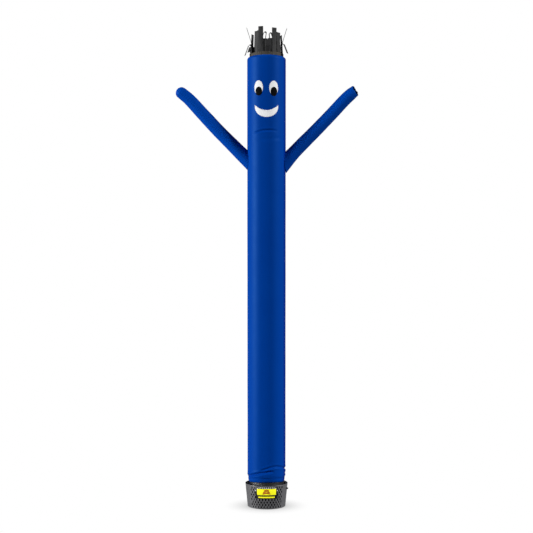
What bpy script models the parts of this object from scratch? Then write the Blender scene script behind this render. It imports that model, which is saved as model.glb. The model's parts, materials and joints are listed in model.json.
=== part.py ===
"""An inflatable air dancer, blown up and standing on its blower, at its real size in metres.

+Z is up. The origin is the middle of the blower's floor, on the surface that it stands on.
The face looks along -Y. Left and right are those of someone who stands in front of it.
A bearing is an angle round the upright axis: 0 is in front, 90 is right, -90 is left.
"""

import math
from collections import namedtuple

import bmesh
import bpy
from mathutils import Matrix, Vector

MM = 0.001
GAP = 0.3 * MM  # air between one piece and the next
CLOTH = 2.0 * MM  # thickness of each cloth sheet
HARD_SIDES = 40  # facets round each turned piece

# the blower's drum
DRUM_FOOT_R = 0.235
DRUM_RIM_R = 0.264
DRUM_H = 0.290
DRUM_WALL = 4 * MM
DRUM_FLOOR = 5 * MM
FOOT_ROUND = 10 * MM
LIP_ROUND = 4 * MM

# the ring plate on the drum, and the collar that the cloth is strapped to
DECK_TOP_Z = 0.285
DECK_T = 4 * MM
COLLAR_R = 0.2015
COLLAR_TOP_Z = 0.350

# the fan and motor, a plain dark unit that stands on the drum's floor
MOTOR_R = 0.080
MOTOR_TOP_Z = 0.150
SHAFT_R = 0.030
FAN_R = 0.170
FAN_LOW_Z = 0.185
FAN_TOP_Z = 0.220
HUB_TOP_Z = 0.245

# the cloth tube
TUBE_SIDES = 36
HEM_Z = 0.298
TOP_Z = 5.600
HEM_LIFT = 24 * MM  # how far the hem rises in front
HEM_LIFT_END_Z = 0.400

# the black strap under the hem, and the black band that holds the hair
STRAP_LOW_Z = 0.289
STRAP_R = 0.2085
BAND_H = 0.040
BAND_LOW_R = 0.2135
BAND_TOP_R = 0.2120

# the arms
ARM_SIDES = 18
HOLE_ROWS = 3  # the arm rows, from the root, that the cutter for its hole runs through
SEAM = 3 * MM  # the tube's arm holes are this much smaller than the arm's inside
TIP_STEPS = 4

# the face patches
PATCH_T = 1.5 * MM
EYE_COLUMNS = 12
MOUTH_COLUMNS = 16
BLUNT_DEG = 7  # where an oval's first and last columns lie on its outline

# the hair
STREAMER_W = 0.065
PLAIN_STATIONS = 9
FOLDED_STATIONS = 18
OUTER_ROOT = 0.2045  # the row of streamers just inside the band
INNER_ROOT = 0.1850  # the two that bow in over the opening
ROOT_Z = TOP_Z + 3 * MM
ROOT_STRAIGHT = 0.045
LEAN_LENGTH = 0.030
FOLD_LENGTH = 0.050

Level = namedtuple("Level", "z radius")
Span = namedtuple("Span", "low_z high_z steps")
Crease = namedtuple("Crease", "path depth half_width swell fade")
ArmRow = namedtuple("ArmRow", "x z width")
Oval = namedtuple("Oval", "bearing z half_angle half_height")
Plate = namedtuple("Plate", "half_angle low_z high_z")
Bolt = namedtuple("Bolt", "bearing radius z")
Streamer = namedtuple("Streamer", "bearing root_r length lean curl fold_at fold")

TUBE_PROFILE = (
    Level(0.298, 0.2080),
    Level(0.310, 0.2200),
    Level(0.324, 0.2245),
    Level(0.366, 0.2265),
    Level(0.386, 0.2370),
    Level(0.450, 0.2365),
    Level(5.540, 0.2415),
    Level(5.566, 0.2410),
    Level(5.580, 0.2370),
    Level(5.591, 0.2280),
    Level(5.600, 0.2140),
)

# rings are close together where the cloth folds
TUBE_SPANS = (
    Span(HEM_Z, 0.346, 2),
    Span(0.346, 0.600, 13),
    Span(0.600, 4.610, 4),
    Span(4.610, 4.700, 6),
    Span(4.700, 5.540, 2),
    Span(5.540, TOP_Z, 6),
)

# each path is a row of (bearing, z), from left to right
BASE_FOLD = Crease(
    path=((-24, 0.478), (-5, 0.500), (6, 0.517), (24, 0.532), (44, 0.524), (75, 0.494), (120, 0.466)),
    depth=9 * MM,
    half_width=14 * MM,
    swell=3 * MM,
    fade=16,
)
BASE_TUCK = Crease(
    path=((-110, 0.378), (-88, 0.386), (-52, 0.418), (-29, 0.443), (-11, 0.460), (10, 0.470), (26, 0.472)),
    depth=12 * MM,
    half_width=12 * MM,
    swell=3 * MM,
    fade=14,
)
CHIN_FOLD = Crease(
    path=((-48, 4.636), (-31, 4.645), (-8, 4.662), (22, 4.664), (38, 4.660)),
    depth=6 * MM,
    half_width=14 * MM,
    swell=2 * MM,
    fade=30,
)
CREASES = (BASE_FOLD, BASE_TUCK, CHIN_FOLD)

LEFT_ARM = (
    ArmRow(-0.150, 4.232, 0.180),
    ArmRow(-0.246, 4.328, 0.176),
    ArmRow(-0.412, 4.493, 0.168),
    ArmRow(-0.604, 4.686, 0.161),
    ArmRow(-0.779, 4.874, 0.158),
    ArmRow(-0.962, 5.072, 0.151),
    ArmRow(-1.061, 5.156, 0.146),
)
RIGHT_ARM = (
    ArmRow(0.150, 4.200, 0.204),
    ArmRow(0.240, 4.300, 0.186),
    ArmRow(0.330, 4.398, 0.168),
    ArmRow(0.440, 4.512, 0.163),
    ArmRow(0.625, 4.699, 0.158),
    ArmRow(0.809, 4.888, 0.155),
    ArmRow(0.974, 5.067, 0.154),
    ArmRow(1.050, 5.138, 0.152),
    ArmRow(1.112, 5.186, 0.136),
)
# the right arm's open end looks out to the right, this far up and this far to the front
MOUTH_RISE = 28
MOUTH_TURN = 16

EYES = {
    "left": Oval(-24.1, 5.190, 13.7, 0.089),
    "right": Oval(22.0, 5.185, 13.9, 0.090),
}
PUPILS = {
    "left": Oval(-23.4, 5.147, 10.5, 0.055),
    "right": Oval(22.4, 5.143, 10.5, 0.057),
}
SMILE_BEARING = 0.2
SMILE_HALF_ANGLE = 36.4
SMILE_TIP_Z = 4.974
SMILE_TIP_H = 10 * MM
SMILE_UPPER_DIP = 0.068
SMILE_LOWER_DIP = 0.142

LABEL = Plate(27.0, 0.178, 0.254)
LABEL_BAR = Plate(23.5, 0.142, 0.159)
LABEL_COLUMNS = 12

BOLT_R = 11 * MM
BOLT_SIDES = 12
DECK_BOLTS = (Bolt(-78, 0.2345, DECK_TOP_Z), Bolt(76, 0.2325, DECK_TOP_Z))
SIDE_BOLT = Bolt(74, 0.0, 0.231)

STREAMERS = (
    Streamer(-20.5, OUTER_ROOT, 0.350, -2, 4, 0.000, 0),
    Streamer(4, OUTER_ROOT, 0.320, 0, 4, 0.190, 150),
    Streamer(28.2, OUTER_ROOT, 0.335, -3, 6, 0.000, 0),
    Streamer(49, OUTER_ROOT, 0.285, -4, 4, 0.000, 0),
    Streamer(69, OUTER_ROOT, 0.305, -4, 0, 0.160, 162),
    Streamer(88.5, OUTER_ROOT, 0.365, -6, 4, 0.160, 20),
    Streamer(108, OUTER_ROOT, 0.285, -1, -4, 0.000, 0),
    Streamer(127.5, OUTER_ROOT, 0.150, -3, 0, 0.000, 0),
    Streamer(147, OUTER_ROOT, 0.350, -3, 6, 0.000, 0),
    Streamer(166, OUTER_ROOT, 0.280, -2, 0, 0.000, 0),
    Streamer(-174.5, OUTER_ROOT, 0.276, -2, 0, 0.000, 0),
    Streamer(-155, OUTER_ROOT, 0.375, -2, 4, 0.000, 0),
    Streamer(-135.5, OUTER_ROOT, 0.150, -3, 0, 0.000, 0),
    Streamer(-116, OUTER_ROOT, 0.300, -1, -3, 0.000, 0),
    Streamer(-96.5, OUTER_ROOT, 0.385, -9, 2, 0.170, 25),
    Streamer(-77, OUTER_ROOT, 0.305, -8, 0, 0.150, 168),
    Streamer(-58, OUTER_ROOT, 0.205, -5, 0, 0.115, 164),
    Streamer(-39.5, OUTER_ROOT, 0.300, -4, 2, 0.000, 0),
    Streamer(-82, INNER_ROOT, 0.480, -47, 42, 0.375, -178),
    Streamer(98, INNER_ROOT, 0.450, -41, 38, 0.350, -178),
)

BLUE = (0.0, 0.065, 0.360)
BLACK = (0.022, 0.022, 0.023)
PUPIL_BLACK = (0.006, 0.006, 0.007)
WHITE = (0.82, 0.82, 0.83)
CHARCOAL = (0.030, 0.030, 0.033)
YELLOW = (0.85, 0.78, 0.03)


# ---------------------------------------------------------------- helpers


def clear_scene():
    for obj in list(bpy.data.objects):
        bpy.data.objects.remove(obj, do_unlink=True)


def material(name, colour, roughness, metallic=0.0):
    mat = bpy.data.materials.get(name)
    if mat is None:
        mat = bpy.data.materials.new(name)
        mat.use_nodes = True
        shader = mat.node_tree.nodes["Principled BSDF"]
        shader.inputs["Base Color"].default_value = (*colour, 1.0)
        shader.inputs["Roughness"].default_value = roughness
        shader.inputs["Metallic"].default_value = metallic
    return mat


def finish(name, bm, mat, smooth_deg=40):
    """Turns a bmesh into a named object with its faces pointing out."""
    bmesh.ops.recalc_face_normals(bm, faces=bm.faces)
    if bm.calc_volume(signed=True) < 0:
        bmesh.ops.reverse_faces(bm, faces=bm.faces)
    mesh = bpy.data.meshes.new(name)
    bm.to_mesh(mesh)
    bm.free()
    mesh.shade_smooth()
    mesh.set_sharp_from_angle(angle=math.radians(smooth_deg))
    obj = bpy.data.objects.new(name, mesh)
    bpy.context.scene.collection.objects.link(obj)
    if mat is not None:
        mesh.materials.append(mat)
    return obj


def loft(name, rings, mat, wrap=False):
    """Joins rings of points in turn. The ends are capped, or joined to each other if wrap is set."""
    bm = bmesh.new()
    loops = [[bm.verts.new(point) for point in ring] for ring in rings]
    pairs = list(zip(loops, loops[1:]))
    if wrap:
        pairs.append((loops[-1], loops[0]))
    else:
        bm.faces.new(loops[0])
        bm.faces.new(loops[-1])
    for a, b in pairs:
        for i in range(len(a)):
            j = (i + 1) % len(a)
            bm.faces.new((a[i], a[j], b[j], b[i]))
    return finish(name, bm, mat)


def turned(name, profile, mat, ring=False):
    """Spins a profile of (radius, z) round the upright axis. A ring's profile closes on itself."""
    bm = bmesh.new()
    verts = [bm.verts.new((r, 0.0, z)) for r, z in profile]
    edges = [bm.edges.new(pair) for pair in zip(verts, verts[1:])]
    if ring:
        edges.append(bm.edges.new((verts[-1], verts[0])))
    bmesh.ops.spin(
        bm,
        geom=verts + edges,
        axis=(0, 0, 1),
        cent=(0, 0, 0),
        angle=math.tau,
        steps=HARD_SIDES,
        use_merge=True,
    )
    bmesh.ops.remove_doubles(bm, verts=bm.verts, dist=0.01 * MM)
    return finish(name, bm, mat)


def cut(obj, cutter):
    """Takes the cutter's shape out of obj, and hides the cutter."""
    boolean = obj.modifiers.new("cut", "BOOLEAN")
    boolean.operation = "DIFFERENCE"
    boolean.solver = "EXACT"
    boolean.object = cutter
    cutter.hide_render = True
    cutter.display_type = "WIRE"


def around(radius, bearing, z):
    a = math.radians(bearing)
    return Vector((radius * math.sin(a), -radius * math.cos(a), z))


def between(rows, at):
    """Reads a table of (place, value) rows at a place, in straight lines from row to row."""
    if at <= rows[0][0]:
        return rows[0][1]
    for (x0, y0), (x1, y1) in zip(rows, rows[1:]):
        if at <= x1:
            return y0 + (y1 - y0) * (at - x0) / (x1 - x0)
    return rows[-1][1]


def ease(t):
    t = min(1.0, max(0.0, t))
    return t * t * (3 - 2 * t)


# ---------------------------------------------------------------- the cloth tube


def crease_offset(crease, bearing, z):
    """How far a crease moves the cloth out: a trough along its path, and a soft swell below it."""
    first, last = crease.path[0][0], crease.path[-1][0]
    strength = ease(min(bearing - first, last - bearing) / crease.fade)
    t = (z - between(crease.path, bearing)) / crease.half_width
    trough = crease.depth * math.exp(-t * t)
    swell = crease.swell * math.exp(-((t + 2) ** 2))
    return strength * (swell - trough)


def tube_radius(bearing, z):
    return between(TUBE_PROFILE, z) + sum(crease_offset(c, bearing, z) for c in CREASES)


def hem_rise(bearing):
    """The hem is highest in front, and level at the back."""
    return HEM_LIFT * ((1 + math.cos(math.radians(bearing))) / 2) ** 2


def tube_ring(z, inset):
    """One ring of the tube, inset from its outer face. The rings near the hem rise in front."""
    share = ease((HEM_LIFT_END_Z - z) / (HEM_LIFT_END_Z - HEM_Z))
    ring = []
    for side in range(TUBE_SIDES):
        bearing = 360.0 * side / TUBE_SIDES - 180.0
        raised = z + share * hem_rise(bearing)
        ring.append(around(tube_radius(bearing, z) - inset, bearing, raised))
    return ring


def tube_levels():
    levels = [TUBE_SPANS[0].low_z]
    for span in TUBE_SPANS:
        step = (span.high_z - span.low_z) / span.steps
        levels += [span.low_z + step * i for i in range(1, span.steps + 1)]
    return levels


def make_tube(mat):
    levels = tube_levels()
    outer = [tube_ring(z, 0.0) for z in levels]
    inner = [tube_ring(z, CLOTH) for z in reversed(levels)]
    tube = loft("tube", outer + inner, mat, wrap=True)
    for side, rows in (("left", LEFT_ARM), ("right", RIGHT_ARM)):
        cut(tube, make_arm_hole(side, rows))
    return tube


# ---------------------------------------------------------------- the arms


def arm_stations(rows):
    """Middle points, directions and widths along an arm, one for each row."""
    points = [Vector((row.x, 0.0, row.z)) for row in rows]
    stations = []
    for i, point in enumerate(points):
        before = points[max(i - 1, 0)]
        after = points[min(i + 1, len(points) - 1)]
        stations.append((point, (after - before).normalized(), rows[i].width))
    return stations


def arm_ring(point, along, radius):
    """A ring square to the arm. Its first corner faces the front."""
    front = Vector((0, -1, 0))
    across = (front - along * front.dot(along)).normalized()
    other = along.cross(across)
    ring = []
    for side in range(ARM_SIDES):
        a = math.tau * side / ARM_SIDES
        ring.append(point + radius * (math.cos(a) * across + math.sin(a) * other))
    return ring


def make_arm_hole(side, rows):
    """The cutter for an arm's hole in the tube, a little smaller than the arm's inside."""
    rings = []
    for point, along, width in arm_stations(rows)[:HOLE_ROWS]:
        rings.append(arm_ring(point, along, width / 2 - CLOTH - SEAM))
    return loft(f"cut_{side}_hole", rings, None)


def make_tube_core(name):
    """The tube's outer form at the arms, a gap larger, as the cutter that fits an arm's root to it."""
    span = TUBE_SPANS[2]
    step = (span.high_z - span.low_z) / span.steps
    levels = (span.high_z - step, span.high_z)
    return loft(name, [tube_ring(z, -GAP) for z in levels], None)


def make_left_arm(mat):
    """The closed arm: its cloth ends in a half-round tip."""
    rings = []
    for inset in (0.0, CLOTH):
        stations = arm_stations(LEFT_ARM)
        layer = [arm_ring(point, along, width / 2 - inset) for point, along, width in stations]
        point, along, width = stations[-1]
        radius = width / 2 - inset
        for step in range(1, TIP_STEPS + 1):
            a = math.radians(84) * step / TIP_STEPS
            layer.append(arm_ring(point + along * radius * math.sin(a), along, radius * math.cos(a)))
        rings.append(layer)
    outer, inner = rings
    arm = loft("arm_left", list(reversed(inner)) + outer, mat)
    cut(arm, make_tube_core("cut_left_root"))
    return arm


def make_right_arm(mat):
    """The open arm: its cloth ends in a mouth that is turned a little to the front."""
    stations = arm_stations(RIGHT_ARM)
    point, _, width = stations[-1]
    rise = math.radians(MOUTH_RISE)
    looks = around(math.cos(rise), 90 - MOUTH_TURN, math.sin(rise))
    stations[-1] = (point, looks, width)
    outer = [arm_ring(p, a, w / 2) for p, a, w in stations]
    inner = [arm_ring(p, a, w / 2 - CLOTH) for p, a, w in reversed(stations)]
    arm = loft("arm_right", outer + inner, mat, wrap=True)
    cut(arm, make_tube_core("cut_right_root"))
    return arm


# ---------------------------------------------------------------- the face


def patch(name, columns, radius_at, lift, mat):
    """A thin plate that follows a round surface. A column is (bearing, low z, high z)."""
    rings = []
    for bearing, low, high in columns:
        corners = []
        for z, out in ((low, 0.0), (high, 0.0), (high, PATCH_T), (low, PATCH_T)):
            corners.append(around(radius_at(bearing, z) + lift + out, bearing, z))
        rings.append(corners)
    return loft(name, rings, mat)


def oval_columns(oval):
    columns = []
    for i in range(EYE_COLUMNS + 1):
        a = math.radians(180 - BLUNT_DEG - (180 - 2 * BLUNT_DEG) * i / EYE_COLUMNS)
        half = oval.half_height * math.sin(a)
        columns.append((oval.bearing + oval.half_angle * math.cos(a), oval.z - half, oval.z + half))
    return columns


def smile_columns():
    """A crescent: both edges are bows that hang between its blunt tips."""
    columns = []
    for i in range(MOUTH_COLUMNS + 1):
        across = 2 * i / MOUTH_COLUMNS - 1
        hang = math.sqrt(max(0.0, 1 - (0.985 * across) ** 2))
        high = SMILE_TIP_Z + SMILE_TIP_H / 2 - SMILE_UPPER_DIP * (1 - across**2)
        low = SMILE_TIP_Z - SMILE_TIP_H / 2 - SMILE_LOWER_DIP * hang
        columns.append((SMILE_BEARING + SMILE_HALF_ANGLE * across, low, high))
    return columns


def make_face(white, black):
    for side, oval in EYES.items():
        patch(f"eye_{side}", oval_columns(oval), tube_radius, 2 * GAP, white)
    for side, oval in PUPILS.items():
        patch(f"pupil_{side}", oval_columns(oval), tube_radius, 3 * GAP + PATCH_T, black)
    patch("mouth", smile_columns(), tube_radius, 2 * GAP, white)


# ---------------------------------------------------------------- strap, band and hair


def make_hem_strap(mat):
    """The strap lies under the hem, and its upper edge follows the hem's rise."""
    rings = []
    for radius in (STRAP_R - CLOTH, STRAP_R):
        low, high = [], []
        for side in range(TUBE_SIDES):
            bearing = 360.0 * side / TUBE_SIDES - 180.0
            low.append(around(radius, bearing, STRAP_LOW_Z))
            high.append(around(radius, bearing, HEM_Z + hem_rise(bearing) - GAP))
        rings.append((low, high))
    (inner_low, inner_high), (outer_low, outer_high) = rings
    return loft("hem_strap", [outer_low, outer_high, inner_high, inner_low], mat, wrap=True)


def make_head_band(mat):
    low_z = TOP_Z + GAP
    high_z = TOP_Z + BAND_H
    profile = (
        (BAND_LOW_R, low_z),
        (BAND_TOP_R, high_z),
        (BAND_TOP_R - CLOTH, high_z),
        (BAND_LOW_R - CLOTH, low_z),
    )
    return turned("head_band", profile, mat, ring=True)


def share(start, end, low, high):
    """How much of the stretch from low to high lies between start and end, from 0 to 1."""
    return max(0.0, min(end, high) - max(start, low)) / (high - low)


def streamer_sections(row):
    """The corners of a streamer's sections, from its root in the band to its free end."""
    centre = around(row.root_r, row.bearing, ROOT_Z)
    width = around(1.0, row.bearing + 90, 0.0)
    along = Vector((0, 0, 1))
    stations = FOLDED_STATIONS if row.fold else PLAIN_STATIONS
    step = row.length / stations
    fold_start = row.fold_at - FOLD_LENGTH / 2
    sections = []
    for i in range(stations + 1):
        start, end = (i - 0.5) * step, (i + 0.5) * step
        bend = row.lean * share(start, end, ROOT_STRAIGHT, ROOT_STRAIGHT + LEAN_LENGTH)
        bend += row.curl * share(start, end, ROOT_STRAIGHT, row.length)
        bend += row.fold * share(start, end, fold_start, fold_start + FOLD_LENGTH)
        half_bend = Matrix.Rotation(math.radians(bend / 2), 3, width)
        along = half_bend @ along
        half_w = width * STREAMER_W / 2
        half_t = along.cross(width) * CLOTH / 2
        corners = (-half_w - half_t, half_w - half_t, half_w + half_t, half_t - half_w)
        sections.append([centre + corner for corner in corners])
        along = half_bend @ along
        centre = centre + along * step
    return sections


def make_hair(mat):
    for number, row in enumerate(STREAMERS, start=1):
        loft(f"streamer_{number:02d}", streamer_sections(row), mat)


# ---------------------------------------------------------------- the blower


def drum_radius(_bearing, z):
    """The drum's outer radius between its rounded foot and its lip."""
    return DRUM_FOOT_R + (DRUM_RIM_R - DRUM_FOOT_R) * z / DRUM_H


def make_drum(mat):
    """A cup with a flat floor, a rounded foot and a rounded lip."""
    foot = drum_radius(0, FOOT_ROUND)
    lip_z = DRUM_H - LIP_ROUND
    lip = drum_radius(0, lip_z)
    profile = [(0.0, 0.0), (foot - FOOT_ROUND, 0.0)]
    for a in (30, 60, 90):
        t = math.radians(a)
        profile.append((foot - FOOT_ROUND * (1 - math.sin(t)), FOOT_ROUND * (1 - math.cos(t))))
    profile.append((lip, lip_z))
    profile.append((lip - LIP_ROUND / 4, DRUM_H))
    profile.append((lip - DRUM_WALL + LIP_ROUND / 4, DRUM_H))
    profile.append((lip - DRUM_WALL, lip_z))
    profile.append((drum_radius(0, DRUM_FLOOR) - DRUM_WALL, FOOT_ROUND))
    profile.append((drum_radius(0, DRUM_FLOOR) - FOOT_ROUND, DRUM_FLOOR))
    profile.append((0.0, DRUM_FLOOR))
    return turned("blower_drum", profile, mat)


def make_deck(mat):
    """The ring plate inside the drum's lip, in one piece with the collar for the cloth."""
    inner = COLLAR_R - DRUM_WALL
    low = DECK_TOP_Z - DECK_T
    outer = drum_radius(0, low) - DRUM_WALL - 2 * MM
    profile = (
        (inner, low),
        (outer, low),
        (outer, DECK_TOP_Z),
        (COLLAR_R, DECK_TOP_Z),
        (COLLAR_R, COLLAR_TOP_Z - LIP_ROUND),
        (COLLAR_R - LIP_ROUND / 4, COLLAR_TOP_Z),
        (inner + LIP_ROUND / 4, COLLAR_TOP_Z),
        (inner, COLLAR_TOP_Z - LIP_ROUND),
    )
    return turned("blower_deck", profile, mat, ring=True)


def make_fan(mat):
    low = DRUM_FLOOR + GAP
    profile = (
        (0.0, low),
        (MOTOR_R, low),
        (MOTOR_R, MOTOR_TOP_Z),
        (SHAFT_R, MOTOR_TOP_Z + 5 * MM),
        (SHAFT_R, FAN_LOW_Z),
        (FAN_R, FAN_LOW_Z),
        (FAN_R, FAN_TOP_Z),
        (SHAFT_R * 2, HUB_TOP_Z),
        (0.0, HUB_TOP_Z),
    )
    return turned("fan_unit", profile, mat)


def make_bolt(name, foot, out, mat):
    """A round-headed bolt: a short can whose end is domed by one bevel."""
    bm = bmesh.new()
    bmesh.ops.create_cone(
        bm, cap_ends=True, segments=BOLT_SIDES, radius1=BOLT_R, radius2=BOLT_R, depth=2 * BOLT_R
    )
    rim = [e for e in bm.edges if all(v.co.z > 0 for v in e.verts)]
    bmesh.ops.bevel(
        bm, geom=rim, offset=BOLT_R / 2, segments=2, profile=0.5, affect="EDGES", material=-1
    )
    bmesh.ops.translate(bm, verts=bm.verts, vec=(0, 0, BOLT_R + GAP))
    bolt = finish(name, bm, mat)
    bolt.rotation_mode = "QUATERNION"
    bolt.rotation_quaternion = out.to_track_quat("Z", "Y")
    bolt.location = foot
    return bolt


def make_bolts(mat):
    for number, row in enumerate(DECK_BOLTS, start=1):
        make_bolt(f"rim_bolt_{number}", around(row.radius, row.bearing, row.z), Vector((0, 0, 1)), mat)
    wall = drum_radius(0, SIDE_BOLT.z)
    foot = around(wall + GAP + MM, SIDE_BOLT.bearing, SIDE_BOLT.z)
    make_bolt("rim_bolt_3", foot, around(1.0, SIDE_BOLT.bearing, 0.0), mat)


def make_labels(mat):
    """A plain plate and a plain bar under it, bent round the front of the drum."""
    for name, plate in (("label_plate", LABEL), ("label_bar", LABEL_BAR)):
        columns = []
        for i in range(LABEL_COLUMNS + 1):
            across = 2 * i / LABEL_COLUMNS - 1
            columns.append((plate.half_angle * across, plate.low_z, plate.high_z))
        patch(name, columns, drum_radius, 2 * GAP, mat)


def main():
    clear_scene()
    blue = material("blue_nylon", BLUE, 0.5)
    black = material("black_cloth", BLACK, 0.7)
    pupil = material("black_patch", PUPIL_BLACK, 0.6)
    white = material("white_patch", WHITE, 0.6)
    plastic = material("charcoal_plastic", CHARCOAL, 0.5)
    steel = material("dark_steel", CHARCOAL, 0.45, metallic=1.0)
    yellow = material("yellow_plate", YELLOW, 0.5)
    make_drum(plastic)
    make_deck(plastic)
    make_fan(steel)
    make_bolts(steel)
    make_labels(yellow)
    make_tube(blue)
    make_left_arm(blue)
    make_right_arm(blue)
    make_face(white, pupil)
    make_hem_strap(black)
    make_head_band(black)
    make_hair(black)


main()
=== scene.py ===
"""The looks of an inflatable air dancer and the blower that it stands on.

Metres, +Z up, and the face looks along -Y. A bearing is an angle round the upright axis: 0 is in
front, 90 is right and -90 is left of someone who stands in front. Cloth tubes are spun as straight
tubes first, get their folds there, and are then bent along their paths.
"""

import json
import math
from collections import namedtuple

import bmesh
import bpy
from mathutils import Matrix, Vector, noise

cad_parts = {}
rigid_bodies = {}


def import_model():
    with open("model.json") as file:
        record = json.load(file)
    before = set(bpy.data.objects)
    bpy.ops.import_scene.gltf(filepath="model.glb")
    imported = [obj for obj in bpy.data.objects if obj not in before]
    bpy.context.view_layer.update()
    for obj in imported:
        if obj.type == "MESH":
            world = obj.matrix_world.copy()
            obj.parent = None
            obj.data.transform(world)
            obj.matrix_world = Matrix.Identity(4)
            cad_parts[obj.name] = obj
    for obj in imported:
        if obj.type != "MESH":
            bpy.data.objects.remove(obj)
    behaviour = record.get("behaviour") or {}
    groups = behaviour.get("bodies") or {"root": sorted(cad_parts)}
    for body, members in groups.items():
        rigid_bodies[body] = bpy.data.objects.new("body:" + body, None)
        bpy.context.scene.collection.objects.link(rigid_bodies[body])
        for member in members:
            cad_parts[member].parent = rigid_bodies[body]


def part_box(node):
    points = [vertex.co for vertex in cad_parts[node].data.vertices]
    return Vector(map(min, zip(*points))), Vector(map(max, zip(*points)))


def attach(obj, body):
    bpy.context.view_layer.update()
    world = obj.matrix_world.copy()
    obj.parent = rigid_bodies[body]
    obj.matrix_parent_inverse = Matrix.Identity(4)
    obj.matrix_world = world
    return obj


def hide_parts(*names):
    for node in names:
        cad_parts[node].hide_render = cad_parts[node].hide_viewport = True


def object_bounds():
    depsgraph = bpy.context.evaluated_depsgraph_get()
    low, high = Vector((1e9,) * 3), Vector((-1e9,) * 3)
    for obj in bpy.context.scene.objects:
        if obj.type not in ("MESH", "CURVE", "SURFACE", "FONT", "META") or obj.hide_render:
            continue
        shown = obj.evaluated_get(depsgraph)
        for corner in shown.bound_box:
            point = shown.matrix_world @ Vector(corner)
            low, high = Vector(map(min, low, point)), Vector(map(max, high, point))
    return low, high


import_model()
CAD_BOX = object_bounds()

MM = 0.001

# ---------------------------------------------------------------- places read from the frame

TUBE_LOW, TUBE_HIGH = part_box("tube")
BAND_LOW, BAND_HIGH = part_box("head_band")
STRAP_LOW, STRAP_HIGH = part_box("hem_strap")
_, DRUM_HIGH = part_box("blower_drum")
DECK_LOW, DECK_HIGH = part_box("blower_deck")
FAN_LOW, FAN_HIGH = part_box("fan_unit")

TUBE_R = TUBE_HIGH.x
TOP_Z = TUBE_HIGH.z
HEM_LIFT = 24 * MM  # how far the hem rises in front
HEM_Z = TUBE_LOW.z
HEM_LIFT_END_Z = HEM_Z + 102 * MM
CLOTH = 1.6 * MM
# painted shade: a strip down the tube's right side is coloured darker; where it starts and ends, in metres
# round from the front
RIGHT_SIDE_PAINTED_SHADE = (0.275, 0.480)
TUBE_SIDES = 144
BILLOW = 1.2 * MM
FOLDS_END_Z = 0.620  # the tube is plain between here and the crease under the face
CHIN_LOW_Z = 4.45
CHIN_HIGH_Z = 4.75
TOP_HEM_REACH = 0.10

DRUM_RIM_R = DRUM_HIGH.x
DRUM_H = DRUM_HIGH.z
DRUM_FOOT_R = 0.235
COLLAR_R = 0.2015
PLATE_TOP_Z = 0.285

Level = namedtuple("Level", "rise inset")
Span = namedtuple("Span", "low_z high_z step")
Crease = namedtuple("Crease", "path depth half_width above below fade")
Dent = namedtuple("Dent", "bearing z reach_deg reach_z depth")
ArmRow = namedtuple("ArmRow", "x z width")
Oval = namedtuple("Oval", "bearing z half_angle half_height")
Streamer = namedtuple("Streamer", "bearing root_r length lean curl fold_at fold")
Light = namedtuple("Light", "name bearing elevation strength soft_deg")

# the tube's profile near its two ends: rise from the hem or from the top, inset from its radius
FOOT_PROFILE = (
    Level(0.000, 0.0335),
    Level(0.012, 0.0215),
    Level(0.026, 0.0170),
    Level(0.068, 0.0128),
    Level(0.092, 0.0058),
    Level(0.152, 0.0050),
)
HEAD_PROFILE = (
    Level(-0.060, 0.0000),
    Level(-0.034, 0.0005),
    Level(-0.020, 0.0045),
    Level(-0.009, 0.0135),
    Level(0.000, 0.0275),
)
# rings are close together where the cloth folds
TUBE_SPANS = (
    Span(HEM_Z, FOLDS_END_Z, 0.0052),
    Span(FOLDS_END_Z, 4.100, 0.0500),
    Span(4.100, 4.540, 0.0150),
    Span(4.540, 4.780, 0.0060),
    Span(4.780, TOP_Z - 0.080, 0.0300),
    Span(TOP_Z - 0.080, TOP_Z, 0.0030),
)

# each path is a row of (bearing, z) from left to right
BASE_FOLD = Crease(
    path=((-24, 0.465), (-5, 0.487), (6, 0.504), (24, 0.519), (44, 0.511), (75, 0.481), (120, 0.453)),
    depth=11 * MM,
    half_width=13 * MM,
    above=2.5 * MM,
    below=3.5 * MM,
    fade=16,
)
BASE_TUCK = Crease(
    path=((-95, 0.369), (-80, 0.376), (-52, 0.404), (-29, 0.429), (-11, 0.446), (10, 0.456), (26, 0.458)),
    depth=22 * MM,
    half_width=14 * MM,
    above=3.5 * MM,
    below=3.5 * MM,
    fade=14,
)
BASE_SIDE_FOLD = Crease(
    path=((62, 0.420), (80, 0.410), (105, 0.416), (140, 0.440)),
    depth=5 * MM,
    half_width=12 * MM,
    above=0.0,
    below=2.0 * MM,
    fade=14,
)
BACK_FOLD = Crease(
    path=((118, 0.462), (150, 0.430), (180, 0.424), (215, 0.402), (250, 0.384)),
    depth=8 * MM,
    half_width=14 * MM,
    above=1.0 * MM,
    below=3.0 * MM,
    fade=16,
)
CHIN_FOLD = Crease(
    path=((-48, 4.636), (-31, 4.645), (-8, 4.662), (22, 4.664), (38, 4.660)),
    depth=9 * MM,
    half_width=12 * MM,
    above=2.0 * MM,
    below=1.5 * MM,
    fade=30,
)
NECK_FOLD = Crease(
    path=((-50, 4.560), (-10, 4.552), (40, 4.572), (70, 4.566)),
    depth=2.0 * MM,
    half_width=22 * MM,
    above=0.0,
    below=1.0 * MM,
    fade=40,
)
CREASES = (BASE_FOLD, BASE_TUCK, BASE_SIDE_FOLD, BACK_FOLD, CHIN_FOLD, NECK_FOLD)
# soft hollows where the gathered foot sags in
DENTS = (
    Dent(-6, 0.366, 8, 0.014, 3 * MM),
    Dent(-34, 0.380, 8, 0.018, 2 * MM),
    Dent(22, 0.388, 10, 0.014, 3 * MM),
    Dent(44, 0.360, 8, 0.018, 3 * MM),
    Dent(12, 0.424, 12, 0.010, 3 * MM),
    Dent(-60, 0.350, 7, 0.020, 4 * MM),
    Dent(70, 0.345, 8, 0.020, 4 * MM),
    Dent(96, 0.372, 9, 0.016, 3 * MM),
)

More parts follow.
